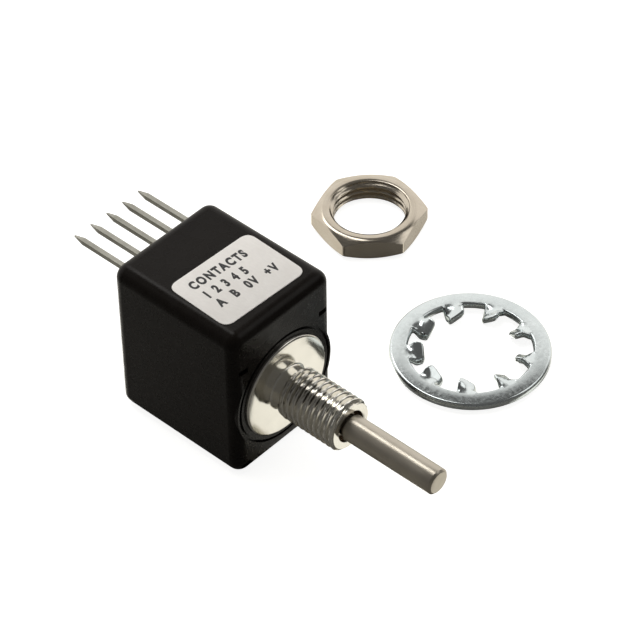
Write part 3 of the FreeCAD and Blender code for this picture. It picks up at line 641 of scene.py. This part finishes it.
def build_print(top):
    """Three lines of plain generic print: the contacts, their numbers and their signals."""
    for number, (words, x, y) in enumerate(PRINT_LINES, start=1):
        curve = bpy.data.curves.new(f"print_work_{number}", "FONT")
        curve.body = words
        curve.size = PRINT_SIZE * MM
        curve.offset = PRINT_BOLD * MM
        curve.extrude = PRINT_THICK * MM
        curve.space_character = PRINT_SPACING
        curve.resolution_u = 4
        writer = bpy.data.objects.new(f"print_work_{number}", curve)
        scene.collection.objects.link(writer)
        mesh = bpy.data.meshes.new_from_object(writer)
        place = Matrix.Translation(Vector((x, y, top + PRINT_LIFT)) * MM)
        narrow = Matrix.Diagonal((PRINT_SQUEEZE, 1, 1, 1))
        mesh.transform(place @ Matrix.Rotation(math.radians(PRINT_TILT), 4, "Z") @ narrow)
        bpy.data.objects.remove(writer)
        dress(f"label_print_{number}", mesh, "label_white", "housing", smooth=30.0, material="print_ink")


# ---- pieces that keep their CAD shape ----------------------------------------------------

PIN_EDGE, HOUSING_EDGE = 0.035, 0.08
EDGE_ANGLE = math.radians(40)


def dress_cad():
    """Every CAD node gets its finish; the pins and the housing also get soft edges."""
    slots = {row["node"]: row["material_slot"] for row in frame["record"]["subparts"]}
    for name, node in nodes.items():
        node.data.materials.clear()
        node.data.materials.append(materials[slots[name]].material)
    widths = {f"terminal_pin_{number}": PIN_EDGE for number in range(1, 6)}
    widths.update(front_housing=HOUSING_EDGE, rear_cover=HOUSING_EDGE)
    for name, width in widths.items():
        edge = nodes[name].modifiers.new("soft_edges", "BEVEL")
        edge.width, edge.segments, edge.limit_method = width * MM, 2, "ANGLE"
        edge.angle_limit = EDGE_ANGLE


build_bushing()
build_shaft()
build_nut()
build_washer()
build_print(build_label())
dress_cad()


# ---- floor and light ---------------------------------------------------------------------

FLOOR_HALF, FLOOR_STEPS = 1.2, 8
FLOOR_GAP = 0.00002
FLOOR_GLOW = 0.88


def build_floor():
    """A plain pale table; its own faint glow keeps the shadows on it light.

    The camera sees it nearly white. What is mirrored in the object sees a darker, glossier table.
    """
    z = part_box("front_housing")[0].z - FLOOR_GAP
    row = FLOOR_STEPS + 1
    marks = [-FLOOR_HALF + 2 * FLOOR_HALF * at / FLOOR_STEPS for at in range(row)]
    points = [(x, y, z) for y in marks for x in marks]
    faces = [
        (b * row + a, b * row + a + 1, (b + 1) * row + a + 1, (b + 1) * row + a)
        for b in range(FLOOR_STEPS) for a in range(FLOOR_STEPS)
    ]
    mesh = bpy.data.meshes.new("floor")
    mesh.from_pydata(points, [], faces)
    floor = bpy.data.objects.new("floor", mesh)
    scene.collection.objects.link(floor)
    n = Nodes("floor_pale")
    n.set(Base_Color=n.blend(n.spread(n.noise(30.0), 0, 1), (0.54, 0.54, 0.536), (0.56, 0.56, 0.556)),
          Roughness=0.85, Specular_IOR_Level=0.0, Emission_Color=(1.0, 1.0, 0.995, 1),
          Emission_Strength=FLOOR_GLOW)
    matt = n.add("ShaderNodeBsdfDiffuse", {"Color": (0.065, 0.062, 0.058, 1)}).outputs[0]
    gloss = n.add("ShaderNodeBsdfGlossy", {"Color": (0.85, 0.84, 0.79, 1), "Roughness": 0.13}).outputs[0]
    table = n.add("ShaderNodeAddShader", {0: matt, 1: gloss}).outputs[0]
    seen = n.add("ShaderNodeLightPath").outputs["Is Camera Ray"]
    output = n.tree.nodes["Material Output"]
    n.feed(output.inputs["Surface"], n.add(
        "ShaderNodeMixShader", {0: seen, 1: table, 2: n.shader.outputs[0]}).outputs[0])
    mesh.materials.append(n.material)


LIT_MIDDLE = Vector((0.01, 0.0, 0.0))


def softbox(name, direction, distance, size, radiance, colour, mirrored=True):
    """A rectangular studio light that points at the object; radiance is how bright its face is.

    A light that isn't mirrored only fills: it lights matt surfaces and makes no highlights.
    """
    light = bpy.data.lights.new(name, "AREA")
    light.shape = "RECTANGLE"
    light.size, light.size_y = size
    light.energy = radiance * math.pi * size[0] * size[1]
    light.color = colour
    lamp = bpy.data.objects.new(name, light)
    scene.collection.objects.link(lamp)
    towards = Vector(direction).normalized()
    lamp.location = towards * distance + LIT_MIDDLE
    lamp.rotation_euler = towards.to_track_quat("Z", "Y").to_euler()
    lamp.visible_glossy = mirrored


BEHIND = (0.530, 0.848, 0.0)
BAND_SIDE = (0.10, 0.40)
BAND_TOP = (0.765, 0.70)
BAND_GLOW, DIM_GLOW = 0.95, 0.10


def build_world():
    """A studio that is bright behind the object, dim overhead and dark behind the camera."""
    world = bpy.data.worlds.new("studio")
    scene.world = world
    world.use_nodes = True
    tree = world.node_tree

    def add(kind, *values, **settings):
        node = tree.nodes.new(kind)
        for key, value in settings.items():
            setattr(node, key, value)
        for socket, value in zip(node.inputs, values):
            if isinstance(value, bpy.types.NodeSocket):
                tree.links.new(value, socket)
            elif value is not None:
                socket.default_value = value
        return node

    def smooth(value, limits):
        """0 to 1 between two limits, smoothly."""
        return add("ShaderNodeMapRange", value, *limits, 0.0, 1.0, interpolation_type="SMOOTHSTEP").outputs[0]

    direction = add("ShaderNodeTexCoord").outputs[0]
    height = add("ShaderNodeSeparateXYZ", direction).outputs["Z"]
    behind = add("ShaderNodeVectorMath", direction, BEHIND, operation="DOT_PRODUCT").outputs["Value"]
    band = add("ShaderNodeMath", smooth(behind, BAND_SIDE), smooth(height, BAND_TOP), operation="MULTIPLY")
    level = add("ShaderNodeMath", band.outputs[0], BAND_GLOW, DIM_GLOW, operation="MULTIPLY_ADD")
    seen = add("ShaderNodeLightPath").outputs["Is Camera Ray"]
    strength = add("ShaderNodeMix", seen, None, level.outputs[0], 1.0)
    tree.nodes["Background"].inputs["Color"].default_value = (1.0, 0.97, 0.93, 1)
    tree.links.new(strength.outputs[0], tree.nodes["Background"].inputs["Strength"])


WARM = (1.0, 0.985, 0.96)
WARMER = (1.0, 0.985, 0.95)

build_floor()
build_world()
softbox("overhead", direction=(0.14, 0.49, 0.86), distance=0.50, size=(0.13, 0.34), radiance=3.6, colour=WARM)
softbox("fill", direction=(0.10, 0.30, 0.95), distance=0.55, size=(0.40, 0.40), radiance=2.1, colour=WARM,
        mirrored=False)
softbox("right", direction=(0.56, -0.46, 0.69), distance=0.60, size=(0.34, 0.34), radiance=1.08,
        colour=WARMER)


# ---- camera ------------------------------------------------------------------------------

AZIMUTH, ELEVATION, ROLL = (math.radians(a) for a in (-47.144, 43.683, -0.875))
DISTANCE = 341.139
SHIFT_RIGHT, SHIFT_UP = 3.653, 7.328
LENS = 172.54


def build_camera():
    data = bpy.data.cameras.new("camera")
    data.sensor_width, data.lens = 36.0, LENS
    data.clip_start, data.clip_end = 0.01, 10.0
    camera = bpy.data.objects.new("camera", data)
    scene.collection.objects.link(camera)
    back = Vector((
        math.sin(AZIMUTH) * math.cos(ELEVATION), -math.cos(AZIMUTH) * math.cos(ELEVATION),
        math.sin(ELEVATION)))
    level = Vector((math.cos(AZIMUTH), math.sin(AZIMUTH), 0))
    tilted = back.cross(level)
    right = level * math.cos(ROLL) + tilted * math.sin(ROLL)
    up = tilted * math.cos(ROLL) - level * math.sin(ROLL)
    spot = (back * DISTANCE + right * SHIFT_RIGHT + up * SHIFT_UP) * MM
    camera.matrix_world = Matrix((
        (right.x, up.x, back.x, spot.x), (right.y, up.y, back.y, spot.y), (right.z, up.z, back.z, spot.z),
        (0, 0, 0, 1)))
    scene.camera = camera


build_camera()
scene.view_settings.view_transform = "Standard"

bpy.context.view_layer.update()
